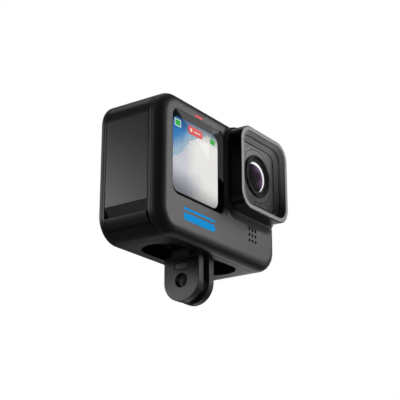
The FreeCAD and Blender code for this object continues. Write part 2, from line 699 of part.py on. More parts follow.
def side_door():
    """C-shaped door that wraps the left side, with a hinge knuckle at its upper end."""
    body = door_shell("side_door", "door_front", "door_rear")
    long = ("door_front", "door_rear")
    hollow(body, ("door_in_x", long[0], "door_in_low"), ("45", long[1], "door_in_top"), "door_in_r")
    hollow(body, ("door_seam", long[0], "-5"), ("50", long[1], "25"))
    hollow(body, ("hinge_x", long[0], "25"), ("50", long[1], "60"))
    width = "door_rear - door_front"
    pad(body, disc(sketch(body, "front", ("hinge_x", long[0], "hinge_z")), "knuckle_r"), width)
    bore = disc(sketch(body, "front", ("hinge_x", long[0], "hinge_z")), "pin_r + pin_clear")
    pocket(body, bore, width)
    # Seat of the latch, and the slot in its floor for the latch's tongue and spring.
    hollow(body, ("-40", long[0], "latch_low - 0.75"),
           ("latch_in_x + latch_gap", long[1], "latch_top + 0.15"))
    side_window(body, ("-34.5", "slot_front", "slot_low"), ("-32.5", "slot_rear", "slot_top"), "0.3")
    keep(body, "side_door")

    gasket = new_body("door_gasket")
    frame = sketch(gasket, "side", ("door_in_x", "0", "0"))
    rectangle(frame, ("5.75", "10.4"), ("23.4", "44.85"), "2")
    rectangle(frame, ("6.25", "11.1"), ("22.85", "44.25"), "1.4")
    pad(gasket, frame, "gasket_thick")
    keep(gasket, "door_gasket")

    pin = ("hinge_x", "band_front - pin_bite + 0.02", "hinge_z")
    keep(rod("door_hinge_pin", pin, "band_rear - band_front + 2 * pin_bite - 0.2", "pin_r"),
         "door_hinge_pin")


def door_latch():
    """Sliding latch across the foot of the door: a sloping finger scoop above a ridge, a tongue behind."""
    body = door_shell("door_latch", "door_front", "door_rear")
    long = ("door_front", "door_rear")
    hollow(body, ("latch_in_x", long[0], "-5"), ("50", long[1], "60"))
    hollow(body, ("-50", long[0], "latch_top"), ("0", long[1], "60"))
    hollow(body, ("-50", long[0], "-5"), ("0", long[1], "latch_low"))
    scoop = outline(sketch(body, "front", ("0", long[0], "0")), [
        ("-45", "scoop_low", "0"), ("scoop_deep - body_w / 2", "scoop_low", "0"),
        ("-body_w / 2", "latch_top", "0"), ("-45", "latch_top", "0"),
    ])
    pocket(body, scoop, "door_rear - door_front")
    # The ridge stops short of the door's front end.
    hollow(body, ("-45", long[0], "latch_low - 1"),
           ("scoop_deep - body_w / 2", "door_front + ridge_notch", "scoop_low + 0.5"))
    tongue = sketch(body, "side", ("latch_in_x", "0", "0"))
    rectangle(tongue, ("tongue_front", "tongue_low"), ("tongue_rear", "tongue_top"), "0.2")
    pad(body, tongue, "tongue_long")
    keep(body, "door_latch")

    # Return spring: a flat meander between the slot's foot and the tongue.
    rungs = 4
    strips = []

    def strip(name, y0, y1, z0, z1):
        strips.append(box(name, ("spring_x", y0, z0), ("spring_x + spring_thick", y1, z1)))

    for i in range(rungs):
        foot = f"spring_low + {i} * spring_rise"
        strip(f"spring_rung_{i}", "spring_front", "spring_rear", foot, f"{foot} + strip")
        if i + 1 < rungs:
            side = "spring_front" if i % 2 else "spring_rear - strip"
            strip(f"spring_turn_{i}", side, f"{side} + strip", foot, f"{foot} + spring_rise + 0.1")
    keep(fuse("latch_spring", *strips), "latch_spring")


# Battery, boards and ports ----------------------------------------------------------------------------


def battery_pieces():
    """Open-ended bay, battery, its pull tab and the contacts at the bay's inner end."""
    high = ("cell_x + cell_w", "cell_y + cell_thick", "cell_z + cell_tall")
    outer = box("bay_block", ("-30.3", "9.9", "6"), ("7.4", "22.9", "44.3"))
    inner = box("bay_hollow", ("-31", "10.6", "9.6"), ("6.7", "22.2", "43.6"))
    keep(cut("battery_bay", outer, inner), "battery_bay")
    body = new_body("battery")
    middle = ("cell_x", "cell_y + cell_thick / 2", "cell_z + cell_tall / 2")
    pad(body, slab_outline(sketch(body, "side", middle), "cell_thick", "cell_tall", "1.2"), "cell_w")
    keep(body, "battery")
    slab("battery_pull_tab", "side", ("cell_x - 0.45", middle[1], "cell_z + 8"), "7", "12", "2", "0.45")
    pads = []
    for i in range(4):
        side = f"cell_y + 1.4 + {i} * contact_pitch"
        low = (high[0], side, "cell_z + 2")
        pads.append(box(f"contact_{i}", low, ("6.7", f"{side} + contact_wide", "cell_z + 8")))
    keep(group("battery_contacts", *pads), "battery_contacts")


def boards():
    """Heat spreader, main board and the shielded processor."""
    keep(box("heat_spreader", ("-31", "2.8", "5"), ("0.4", "3.6", "46")), "heat_spreader")
    keep(box("main_board", ("-29.8", "5.4", "7"), ("6.5", "6.4", "44.5")), "main_board")
    can = box("shield_can", ("-14", "6.4", "25"), ("4", "8.4", "43"))
    room = box("shield_hollow", ("-13.7", "6.3", "25.3"), ("3.7", "8.1", "42.7"))
    keep(cut("processor_shield", can, room), "processor_shield")
    keep(box("processor", ("-11", "6.4", "28"), ("1", "7.5", "40")), "processor")


def ports():
    """USB port, memory-card cage and card behind the door."""
    shell = new_body("usb_c_port")
    mouth = ("-31.7", "port_y", "usb_z")
    pad(shell, pill(sketch(shell, "side", mouth), "usb_tall", "usb_wide", False), "7.4")
    pocket(shell, pill(sketch(shell, "side", mouth), "usb_tall - 0.6", "usb_wide - 0.6", False), "6.8")
    keep(shell, "usb_c_port")
    tongue = box("usb_c_tongue", ("-31.1", "port_y - 0.35", "usb_z - 3.35"),
                 ("-24.9", "port_y + 0.35", "usb_z + 3.35"))
    keep(tongue, "usb_c_tongue")
    foot, head = "card_z - card_tall / 2", "card_z + card_tall / 2"
    cage = box("cage_block", ("-30.2", "6.45", f"{foot} - 0.6"), ("-15.4", "8.5", f"{head} + 0.6"))
    room = box("cage_room", ("-30.6", "6.95", f"{foot} - 0.2"), ("-15.9", "8.1", f"{head} + 0.2"))
    keep(cut("card_slot", cage, room), "card_slot")
    slab("microsd_card", "side", ("-31.4", "7.12 + card_thick / 2", "card_z"), "card_thick", "card_tall",
         "0.2", "card_long")


# Buttons ----------------------------------------------------------------------------------------------


def shutter():
    """Top button with its printed ring, seal and switch."""
    body = new_body("shutter_button")
    at = ("shutter_x", "button_y")
    top = "body_tall + shutter_proud"
    key = pill(sketch(body, "top", (*at, "47.5")), "shutter_long", "shutter_wide")
    pad(body, key, f"{top} - 47.5")
    soften(body, "0.6", in_plane("Z", value(top)))
    skirt = pill(sketch(body, "top", (*at, "47.3")), "shutter_long + 2 * skirt", "shutter_wide + 2 * skirt")
    pad(body, skirt, "0.7")
    pad(body, disc(sketch(body, "top", (*at, "46.4")), "1.5"), "1")
    inlay = sketch(body, "top", (*at, top))
    disc(inlay, "ring_out")
    disc(inlay, "ring_in")
    pocket(body, inlay, "ring_deep", -1)
    keep(body, "shutter_button")
    ring = new_body("shutter_ring")
    band = sketch(ring, "top", (*at, f"{top} - ring_deep"))
    disc(band, "ring_out")
    disc(band, "ring_in")
    pad(ring, band, "ring_deep")
    keep(ring, "shutter_ring")
    seal = new_body("shutter_seal")
    face = (*at, "48.1")
    pad(seal, pill(sketch(seal, "top", face), "shutter_long + 2", "shutter_wide + 2"), "seal_thick")
    room = pill(sketch(seal, "top", face), "shutter_long + button_gap", "shutter_wide + button_gap")
    pocket(seal, room, "seal_thick")
    keep(seal, "shutter_seal")
    keep(box("shutter_switch", ("shutter_x - 3", "button_y - 3", "44.3"),
             ("shutter_x + 3", "button_y + 3", "45.7")), "shutter_switch")


def mode_button():
    """Button on the right side with its seal, switch and small board."""
    body = new_body("mode_button")
    at = ("button_y", "mode_z")
    face = "body_w / 2 + mode_proud"
    key = pill(sketch(body, "side", ("32.6", *at)), "mode_long", "mode_wide", False)
    pad(body, key, f"{face} - 32.6")
    soften(body, "0.4", in_plane("X", value(face)))
    rim = pill(sketch(body, "side", ("32.4", *at)), "mode_long + 2 * skirt", "mode_wide + 2 * skirt", False)
    pad(body, rim, "0.7")
    pad(body, disc(sketch(body, "side", ("31.5", *at)), "1.3"), "1")
    keep(body, "mode_button")
    seal = new_body("mode_seal")
    place_of_seal = ("33.2", *at)
    pad(seal, pill(sketch(seal, "side", place_of_seal), "mode_long + 2", "mode_wide + 2", False),
        "seal_thick")
    room = pill(sketch(seal, "side", place_of_seal), "mode_long + button_gap", "mode_wide + button_gap",
                False)
    pocket(seal, room, "seal_thick")
    keep(seal, "mode_seal")
    switch = box("mode_switch", ("29.5", "button_y - 3", "mode_z - 3"),
                 ("30.9", "button_y + 3", "mode_z + 3"))
    keep(switch, "mode_switch")
    backing = box("button_board", ("28.7", "button_y - 4.2", "mode_z - 7"),
                  ("29.5", "button_y + 4.2", "mode_z + 7"))
    keep(backing, "button_board")


# Folding fingers --------------------------------------------------------------------------------------


def mount_base():
    """Cup over the recess, with a pair of lugs at each finger's pivot."""
    body = new_body("mount_base")
    cup = ("recess_x", "recess_y", "wall")
    pad(body, pill(sketch(body, "top", cup), "recess_long + 2", "recess_wide + 2"),
        "recess_deep - wall + recess_skin")
    pocket(body, pill(sketch(body, "top", cup), "recess_long", "recess_wide"), "recess_deep - wall")
    for side in (-1, 1):
        for lug_y in ("finger_y - lug_in - lug_wide", "finger_y + lug_in"):
            at = (f"{side} * pivot_x", lug_y, "pivot_z")
            root = "recess_deep - pivot_z + 0.3"
            outline_of_lug = [
                ("-lug_r", "-lug_r", "lug_r - 0.02"), ("lug_r", "-lug_r", "lug_r - 0.02"),
                ("lug_r", root, "0"), ("-lug_r", root, "0"),
            ]
            pad(body, outline(sketch(body, "front", at), outline_of_lug), "lug_wide")
            pocket(body, disc(sketch(body, "front", at), "finger_pin_r"), "lug_wide")
    return keep(body, "mount_base")


def mount_finger(side, word):
    """One folding finger: side is -1 for the left one and 1 for the right one."""
    name = f"mount_finger_{word}"
    body = new_body(name)
    inner, outer = f"{side} * finger_in", f"{side} * (finger_in + finger_thick)"
    half = "finger_w / 2"
    plate = sketch(body, "side", (inner, "finger_y", "0"))
    pad(body, rectangle(plate, (f"-{half}", "bore_z"), (half, "finger_top")), "finger_thick", side)
    pad(body, disc(sketch(body, "side", (inner, "finger_y", "bore_z")), half), "finger_thick", side)
    levels = [value(inner), value(outer)]
    top = value("finger_top") - 0.5

    def rim(b):
        """Edges round the plate's two flat faces, apart from the top ones."""
        return any(in_plane("X", level)(b) for level in levels) and b.ZMin < top

    soften(body, "finger_round", rim)
    between_lugs = sketch(body, "front", (f"{side} * pivot_x", "finger_y - lug_in + lug_clear", "pivot_z"))
    knuckle = outline(between_lugs, [
        (f"{side} * roll_out", "roll_up", "roll_up - 0.1"), (f"{side} * roll_out", "-roll_down", "0.6"),
        (f"{-side} * roll_in", "-roll_down", "0"), (f"{-side} * roll_in", "roll_up", "roll_in - 0.05"),
    ])
    pad(body, knuckle, "2 * (lug_in - lug_clear)")
    pivot = sketch(body, "front", (f"{side} * pivot_x", "finger_y - lug_in - 1", "pivot_z"))
    pocket(body, disc(pivot, "finger_pin_r + pin_clear"), "2 * lug_in + 2")
    bore = disc(sketch(body, "side", (inner, "finger_y", "bore_z")), "bore_r")
    pocket(body, bore, "finger_thick", side)
    seat = sketch(body, "side", (outer, "pad_y", "pad_z"))
    pocket(body, slab_outline(seat, "pad_long", "pad_wide", "pad_wide / 2 - 0.1"), "pad_deep", -side)
    keep(body, name)

    plug = new_body(f"finger_pad_{word}")
    foot = sketch(plug, "side", (f"{outer} - {side} * pad_deep", "pad_y", "pad_z"))
    slab_outline(foot, "pad_long - 2 * pad_gap", "pad_wide - 2 * pad_gap", "pad_wide / 2 - pad_gap - 0.1")
    pad(plug, foot, "pad_deep - 0.08", side)
    keep(plug, f"finger_pad_{word}")
    pin_start = (f"{side} * pivot_x", "finger_y - lug_in - lug_wide", "pivot_z")
    pin = rod(f"finger_pin_{word}", pin_start, "2 * (lug_in + lug_wide)", "finger_pin_r")
    keep(pin, f"finger_pin_{word}")


front_cover()
front_mark()
main_housing()
rear_bezel()
front_screen()
rear_screen()
sound_pieces()
lens_mount()
lens_stack()
lens_cover()
side_door()
door_latch()
battery_pieces()
boards()
ports()
shutter()
mode_button()
mount_base()
mount_finger(-1, "left")
mount_finger(1, "right")
doc.recompute()

broken = [o.Label for o in doc.Objects if {"Invalid", "Error"} & set(o.State)]
broken += [o.Label for o in parts if o.Shape.isNull() or not o.Shape.isValid()]
if broken:
    raise ValueError(f"not sound: {broken}")
os.makedirs("parts", exist_ok=True)
for thing in parts:
    thing.Shape.exportStep(os.path.join("parts", f"{thing.Label}.step"))
print(f"{len(parts)} sub-parts written")
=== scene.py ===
"""Looks, light and view of the action camera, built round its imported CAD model."""

import math

import bpy
from mathutils import Matrix, Vector


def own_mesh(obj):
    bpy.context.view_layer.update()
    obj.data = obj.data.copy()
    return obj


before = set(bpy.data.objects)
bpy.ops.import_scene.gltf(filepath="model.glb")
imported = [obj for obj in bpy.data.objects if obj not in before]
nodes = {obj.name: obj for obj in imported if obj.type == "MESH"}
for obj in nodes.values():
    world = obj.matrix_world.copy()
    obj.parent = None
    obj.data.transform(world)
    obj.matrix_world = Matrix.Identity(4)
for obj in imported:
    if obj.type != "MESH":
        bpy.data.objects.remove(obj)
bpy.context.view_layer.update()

MM = 0.001
FRONT_Y, BASE_Z = -14.45, 8.38  # the casing's front and bottom face in the frame, in mm

# Places on the camera, in camera coordinates (see row).
LENS_X, LENS_Z = 17.65, 32.9  # lens axis
RIM_Y = -6.9  # front rim of the lens cover
RAMP_HALF = 18.9  # half width of the ramp round the lens cover
HOOD_HALF = 14.4  # half width between the hood's inner walls
HOOD_FOOT_Z, HOOD_TOP_Z = 22, 43  # where painted shade and light on the hood's inner walls are darkest and lightest
BOSS_RADIUS = 7.95  # black boss in the middle of the lens plate
FINGER_OUTER_X = 4.6  # outer face of a mounting finger
SEAT_X = -33.9  # wall behind the latch
SEAT_LOW_Z, SEAT_TOP_Z = 2.85, 11.0
NOTCH_Y, NOTCH_Z = 6.28, 7.2  # rear and top end of the notch in the latch's ridge
PICTURE = (-29.65, -2.9, 14.9, 42.1)  # live picture: left, right, bottom and top
PICTURE_RADIUS = 3.0
REAR_PICTURE_HALF = (27.5, 17.3)  # half width and height of the rear display
REAR_PICTURE_Z = 25.4  # its middle

BLACK = (0.004, 0.004, 0.0045)
WHITE = (1, 1, 1)


def row(x, y, z):
    """Camera coordinates to the frame: mm from the middle, the front face and the bottom face, to metres."""
    return Vector((x * MM, (y + FRONT_Y) * MM, (z + BASE_Z) * MM))


# Node helpers ---------------------------------------------------------------------------------------------


class Tree:
    """A material's node tree with short calls for the nodes used here."""

    def __init__(self, name):
        self.material = bpy.data.materials.new(name)
        self.material.use_nodes = True
        self.nodes = self.material.node_tree.nodes
        self.links = self.material.node_tree.links
        self.shader = self.nodes["Principled BSDF"]
        self.place = self.new("ShaderNodeTexCoord").outputs["Object"]
        axes = self.new("ShaderNodeSeparateXYZ")
        self.join(self.place, axes.inputs[0])
        self.x, self.y, self.z = axes.outputs

    def new(self, kind, **values):
        node = self.nodes.new(kind)
        for key, value in values.items():
            setattr(node, key, value)
        return node

    def join(self, a, b):
        if hasattr(a, "is_linked"):
            self.links.new(a, b)
        else:
            b.default_value = a

    def math(self, kind, *inputs):
        node = self.new("ShaderNodeMath", operation=kind)
        for value, socket in zip(inputs, node.inputs):
            self.join(value, socket)
        return node.outputs[0]

    def times(self, *factors):
        product = factors[0]
        for factor in factors[1:]:
            product = self.math("MULTIPLY", product, factor)
        return product

    def length(self, a, b):
        """Square root of a squared plus b squared."""
        return self.math("SQRT", self.math("ADD", self.times(a, a), self.times(b, b)))

    def camera_x(self):
        """Object x in millimetres from the camera's middle."""
        return self.math("MULTIPLY", self.x, 1000)

    def camera_y(self):
        """Object y in millimetres behind the camera's front face."""
        return self.math("MULTIPLY_ADD", self.y, 1000, -FRONT_Y)

    def camera_z(self):
        """Object z in millimetres above the camera's bottom face."""
        return self.math("MULTIPLY_ADD", self.z, 1000, -BASE_Z)

    def blend(self, share, a, b):
        """Colour a where share is 0, b where it is 1."""
        node = self.new("ShaderNodeMix", data_type="RGBA")
        self.join(share, node.inputs[0])
        for colour, socket in ((a, node.inputs[6]), (b, node.inputs[7])):
            self.join(colour if hasattr(colour, "is_linked") else (*colour, 1), socket)
        return node.outputs[2]

    def noise(self, per_mm, detail=2, rough=0.5, stretch=(1, 1, 1)):
        """Noise from 0 to 1 whose features are about 1 / per_mm millimetres wide."""
        mapping = self.new("ShaderNodeMapping")
        self.join(self.place, mapping.inputs["Vector"])
        mapping.inputs["Scale"].default_value = [1000 * per_mm * s for s in stretch]
        node = self.new("ShaderNodeTexNoise")
        self.join(mapping.outputs[0], node.inputs["Vector"])
        node.inputs["Scale"].default_value = 1
        node.inputs["Detail"].default_value = detail
        node.inputs["Roughness"].default_value = rough
        return node.outputs["Fac"]

    def spread(self, value, low, high, to_low=0, to_high=1, smooth=False):
        """Maps low..high on to to_low..to_high, held at the ends."""
        node = self.new("ShaderNodeMapRange", interpolation_type="SMOOTHSTEP" if smooth else "LINEAR")
        for index, number in enumerate((value, low, high, to_low, to_high)):
            self.join(number, node.inputs[index])
        return node.outputs[0]

    def bump(self, height, distance, normal=None):
        """A normal from heights of 0 to 1, the distance between them in millimetres."""
        node = self.new("ShaderNodeBump")
        self.join(height, node.inputs["Height"])
        node.inputs["Distance"].default_value = distance * MM
        node.inputs["Strength"].default_value = 1
        if normal:
            self.join(normal, node.inputs["Normal"])
        return node.outputs["Normal"]

    def rounded(self, radius, samples=6):
        """A normal that rounds off sharp edges a little."""
        node = self.new("ShaderNodeBevel", samples=samples)
        node.inputs["Radius"].default_value = radius * MM
        return node.outputs["Normal"]

    def blend_normals(self, share, a, b):
        """Normal a where share is 0, b where it is 1."""
        node = self.new("ShaderNodeMix", data_type="VECTOR")
        for value, socket in ((share, node.inputs[0]), (a, node.inputs[4]), (b, node.inputs[5])):
            self.join(value, socket)
        unit = self.new("ShaderNodeVectorMath", operation="NORMALIZE")
        self.join(node.outputs[1], unit.inputs[0])
        return unit.outputs[0]

    def from_lens(self):
        """Distance from the lens axis along x or z, whichever is more, in millimetres."""
        across = self.math("ABSOLUTE", self.math("SUBTRACT", self.camera_x(), LENS_X))
        up = self.math("ABSOLUTE", self.math("SUBTRACT", self.camera_z(), LENS_Z))
        return self.math("MAXIMUM", across, up)

    def set(self, **values):
        """Sets or links the shader's inputs and returns the material."""
        names = {"colour": "Base Color", "rough": "Roughness", "metal": "Metallic", "normal": "Normal",
                 "ior": "IOR", "glow": "Emission Color", "glow_power": "Emission Strength",
                 "clear": "Transmission Weight", "shine": "Specular IOR Level", "alpha": "Alpha"}
        for key, value in values.items():
            socket = self.shader.inputs[names[key]]
            if not hasattr(value, "is_linked") and key in ("colour", "glow"):
                value = (*value, 1)
            self.join(value, socket)
        return self.material


def shades(colour, low, high):
    """Darker and lighter versions of a colour."""
    return [c * low for c in colour], [c * high for c in colour]


def plastic(name, colour, rough, grain=6.0, depth=0.012, edge=0.12, change=0.25, haze=0.035,
            lens_ramp=False, painted_shade=None):
    """Moulded plastic: spark-eroded grain, faint cloudiness in colour and sheen.

    Grain is the number of bumps in a millimetre and depth their height. Edges are rounded off by edge. The
    colour varies by the share change and the roughness by haze. With lens_ramp the ramp round the lens cover
    runs softly into the face. The last argument, a function, marks places where shade is painted in: they are
    darkened to near black and lose their sheen.
    """
    t = Tree(name)
    cloud = t.noise(0.05, 3)
    fine = t.noise(grain, 2, 0.6)
    tone = t.spread(t.math("MULTIPLY_ADD", fine, 0.35, t.math("MULTIPLY", cloud, 0.65)), 0.35, 0.65)
    roughness = t.spread(cloud, 0.3, 0.7, rough - haze, rough + haze)
    colour = t.blend(tone, *shades(colour, 1 - change, 1 + change))
    # Painted shade: the marked places are darkened to near black and made fully rough.
    if painted_shade:
        colour = t.blend(painted_shade(t), colour, (0.002, 0.002, 0.002))
        roughness = t.math("MAXIMUM", roughness, painted_shade(t))
    normal = t.rounded(edge)
    if lens_ramp:
        near = t.times(t.spread(t.from_lens(), RAMP_HALF + 1, RAMP_HALF), t.spread(t.camera_y(), 0.6, 0.3))
        normal = t.blend_normals(near, normal, t.rounded(1.8, samples=16))
    return t.set(colour=colour, rough=roughness, shine=0.5, normal=t.bump(fine, depth, normal))


def latch_seat(t):
    """1 on the wall behind the latch, where its deep shade is painted."""
    z = t.camera_z()
    height = t.times(t.spread(z, SEAT_LOW_Z - 0.1, SEAT_LOW_Z), t.spread(z, SEAT_TOP_Z + 0.1, SEAT_TOP_Z))
    return t.times(t.spread(t.camera_x(), SEAT_X - 0.05, SEAT_X), height)


def ridge_notch(t):
    """1 in the notch at the front end of the latch's ridge, where its shade is painted."""
    front = t.spread(t.camera_y(), NOTCH_Y + 0.04, NOTCH_Y)
    return t.times(front, t.spread(t.camera_z(), NOTCH_Z + 0.1, NOTCH_Z))


def metal(name, colour, rough, lines=(0.4, 0.4, 9), depth=0.004, coated=0.0, shine=0.5):
    """Metal with fine lines and slight stains. The lines are so many in a millimetre along x, y and z."""
    t = Tree(name)
    streak = t.noise(1, 3, 0.6, lines)
    cloud = t.noise(0.12, 3)
    tone = t.spread(t.math("ADD", streak, cloud), 0.8, 1.2)
    roughness = t.spread(streak, 0.3, 0.7, rough - 0.05, rough + 0.07)
    return t.set(colour=t.blend(tone, *shades(colour, 0.82, 1)), rough=roughness, metal=1 - coated,
                 shine=shine, normal=t.bump(streak, depth, t.rounded(0.06)))


def rubber(name, colour, rough=0.62):
    """Matt rubber or woven tape."""
    t = Tree(name)
    fine = t.noise(9, 2)
    return t.set(colour=t.blend(fine, *shades(colour, 0.8, 1.2)),
                 rough=t.spread(fine, 0.3, 0.7, rough - 0.05, rough + 0.05), normal=t.bump(fine, 0.01))


def board(name):
    """Circuit board: solder mask over faint copper tracks."""
    t = Tree(name)
    track = t.new("ShaderNodeTexBrick")
    mapping = t.new("ShaderNodeMapping")
    t.join(t.place, mapping.inputs["Vector"])
    mapping.inputs["Scale"].default_value = (500, 500, 500)  # a brick is then 1 mm long
    mapping.inputs["Rotation"].default_value = (math.pi / 2, 0, 0)  # for boards that stand in the X-Z plane
    t.join(mapping.outputs[0], track.inputs["Vector"])
    track.inputs["Scale"].default_value = 1
    track.inputs["Mortar Size"].default_value = 0.03
    line = track.outputs["Fac"]
    return t.set(colour=t.blend(line, (0.008, 0.06, 0.035), (0.02, 0.16, 0.09)), rough=0.35,
                 normal=t.bump(line, 0.02))


# Materials ------------------------------------------------------------------------------------------------

SHELL = plastic("shell_plastic_look", (0.017, 0.017, 0.0175), 0.40, edge=0.03)
FRONT = plastic("front_plastic_look", (0.017, 0.017, 0.0175), 0.40, lens_ramp=True)
# Door and latch get painted shade on the wall behind the latch and in the notch of the latch's ridge.
DOOR = plastic("door_plastic_look", (0.015, 0.015, 0.0155), 0.27, grain=9, depth=0.0, edge=0.05,
               change=0.08, haze=0.004, painted_shade=latch_seat)  # smoother than the rest
LATCH = plastic("latch_plastic_look", (0.013, 0.013, 0.0135), 0.36, grain=8, depth=0.006, edge=0.03,
                painted_shade=ridge_notch)
PAD = plastic("finger_pad_look", (0.03, 0.03, 0.031), 0.44, grain=8, depth=0.006)
BAY = plastic("bay_plastic_look", (0.02, 0.02, 0.02), 0.5)
BUTTON = plastic("button_plastic_look", (0.018, 0.018, 0.0185), 0.36, grain=8, depth=0.006)
CHIP = plastic("chip_plastic_look", (0.02, 0.022, 0.025), 0.45, grain=12, depth=0.004)
WRAP = plastic("battery_wrap_look", (0.04, 0.04, 0.042), 0.4, grain=3, depth=0.004)
BARREL = metal("barrel_black_look", BLACK, 0.34, lines=(2, 2, 2), depth=0.0006, coated=0.8, shine=0.03)
STEEL = metal("screw_steel_look", (0.55, 0.55, 0.56), 0.3)
SPRING = metal("spring_steel_look", (0.6, 0.6, 0.6), 0.25)
PORT = metal("port_steel_look", (0.5, 0.5, 0.52), 0.28)
TIN = metal("shield_tin_look", (0.62, 0.62, 0.64), 0.32, lines=(5, 0.5, 0.5))
PLATE = metal("aluminium_plate_look", (0.68, 0.68, 0.7), 0.35, lines=(0.5, 5, 0.5))
GOLD = metal("contact_gold_look", (0.85, 0.62, 0.28), 0.25)
MESH = metal("mesh_metal_look", (0.01, 0.01, 0.01), 0.5, lines=(4, 4, 4), coated=0.7)
SEAL = rubber("seal_rubber_look", (0.012, 0.012, 0.012))
TAB = rubber("pull_tab_look", (0.02, 0.16, 0.4), 0.5)
BOARD = board("circuit_board_look")


def finger_look():
    """Moulded plastic, painted lighter toward the tips of the outer faces, on the hinge barrel and on the
    edges as light, and dark elsewhere as shade.
    """
    t = Tree("finger_plastic_look")
    fine = t.noise(5, 2, 0.6)
    height = t.math("MULTIPLY_ADD", fine, 0.6, t.camera_z())
    outer = t.spread(t.math("ABSOLUTE", t.camera_x()), FINGER_OUTER_X - 0.2, FINGER_OUTER_X)
    # Painted light: lighter at the tips of the outer faces, on the hinge barrel and on the edge faces; the
    # rest stays dark as painted shade.
    tip = t.times(t.spread(height, -3, -14, smooth=True), outer)
    barrel = t.spread(height, -0.6, 0.6, 0, 0.6)
    edges = t.spread(outer, 0, 1, 0.15, 0)
    painted_finger_light = t.math("MAXIMUM", tip, t.math("MAXIMUM", barrel, edges))
    return t.set(colour=t.blend(painted_finger_light, (0.012, 0.012, 0.0125), (0.25, 0.25, 0.252)),
                 rough=t.spread(fine, 0.3, 0.7, 0.34, 0.4), shine=0.22,
                 normal=t.bump(fine, 0.008, t.rounded(0.12)))


def ring_look():
    """Dark anodised plate round a black boss, with a painted sheen on the plate that fades toward the lower
    right.
    """
    t = Tree("ring_metal_look")
    fine = t.noise(3, 3, 0.6)
    dx = t.math("SUBTRACT", t.camera_x(), LENS_X)
    dz = t.math("SUBTRACT", t.camera_z(), LENS_Z)
    # Painted sheen: the plate's colour is lighter toward the top and fades toward the lower right.
    height = t.math("MULTIPLY_ADD", dx, -0.25, dz)
    plate = t.blend(t.spread(height, -11, 9), (0.03, 0.03, 0.031), (0.15, 0.15, 0.155))
    boss = t.spread(t.length(dx, dz), BOSS_RADIUS + 0.2, BOSS_RADIUS)
    return t.set(colour=t.blend(boss, plate, BLACK), rough=t.spread(fine, 0.3, 0.7, 0.32, 0.38),
                 metal=t.spread(boss, 0, 1, 0.6, 0.1), shine=0.08,
                 normal=t.bump(fine, 0.0006, t.rounded(0.06)))


def cover_look():
    """Satin black cover, its rim brighter, with painted light: the hood's inner walls light at the top and
    fading to black toward their foot, the outer walls lighter low down.
    """
    t = Tree("cover_black_look")
    fine = t.noise(9, 2, 0.6)
    rim = t.spread(t.camera_y(), RIM_Y + 0.15, RIM_Y)
    hood = t.spread(t.from_lens(), HOOD_HALF + 0.2, HOOD_HALF)
    # Painted light and shade on the hood's inner walls: light at the top, black at the foot.
    inner = t.blend(t.spread(t.camera_z(), HOOD_FOOT_Z, HOOD_TOP_Z), (0.02, 0.02, 0.0205), (0.6, 0.6, 0.605))
    # Painted light from below on the outer walls under the hood's foot.
    painted_light_below = t.spread(t.camera_z(), HOOD_FOOT_Z, HOOD_FOOT_Z - 5, smooth=True)
    outer = t.blend(painted_light_below, (0.004, 0.004, 0.0043), (0.11, 0.11, 0.112))
    walls = t.blend(hood, outer, inner)
    return t.set(colour=t.blend(rim, walls, (0.16, 0.16, 0.165)),
                 rough=t.spread(rim, 0, 1, 0.3, 0.36), shine=0.04,
                 metal=t.math("MULTIPLY", rim, 0.85),
                 normal=t.bump(fine, 0.002, t.rounded(0.1)))


def clear_glass(name, tint):
    """Optical glass with a faint coating tint, a little uneven."""
    t = Tree(name)
    smear = t.noise(0.15, 3)
    return t.set(colour=t.blend(smear, *shades(tint, 0.97, 1)), rough=t.spread(smear, 0.4, 0.7, 0, 0.01),
                 clear=1.0, ior=1.5)


def window_look():
    """Coated flat window of the lens cover: almost nothing of it shows but a faint sheen."""
    t = Tree("cover_window_look")
    smear = t.noise(0.15, 3)
    return t.set(colour=t.blend(smear, (0.01, 0.01, 0.012), (0.014, 0.014, 0.018)), alpha=0.05,
                 rough=t.spread(smear, 0.4, 0.7, 0.02, 0.05), shine=0.3)


def lens_look():
    """Front element: near-black depth, a violet coating reflection toward the rim and a soft white catch
    light, both painted.

    The hood hides every lamp from the dome's right side, so the catch light there is painted in as glow.
    """
    t = Tree("lens_glass_look")
    # All of it is centred a little left of and below the lens axis.
    dx = t.math("SUBTRACT", t.camera_x(), LENS_X - 0.8)
    dz = t.math("SUBTRACT", t.camera_z(), LENS_Z - 0.4)

    def distance_from(x, z):
        return t.length(t.math("SUBTRACT", dx, x), t.math("SUBTRACT", dz, z))

    radius = distance_from(0, 0)
    # Painted catch light: a white crescent on the dome's right side, lit by the glow.
    painted_catch_light = t.times(t.spread(radius, 5.85, 5.55, smooth=True),
                       t.spread(distance_from(-2.2, -1.5), 5.75, 6.2, smooth=True))
    ripple = t.math("MULTIPLY_ADD", t.math("SINE", t.math("MULTIPLY", radius, 5.2)), 0.5, 0.5)
    band = t.times(t.spread(radius, 0.9, 2.4, smooth=True), t.spread(radius, 5.2, 3.0, smooth=True))
    right_side = t.spread(t.math("ADD", dx, t.math("MULTIPLY", dz, 0.5)), -3.0, 2.5, smooth=True)
    # Painted reflection of the violet coating, in both colour and glow, on a band toward the rim and the
    # right side.
    violet_reflection = t.times(band, right_side, t.math("MULTIPLY_ADD", ripple, 0.8, 0.2))
    glow = t.blend(violet_reflection, (0, 0, 0), (0.12, 0.06, 0.14))
    return t.set(colour=t.blend(violet_reflection, (0.006, 0.005, 0.008), (0.16, 0.09, 0.19)), rough=0.15, shine=0.006,
                 glow=t.blend(painted_catch_light, glow, WHITE), glow_power=0.95)


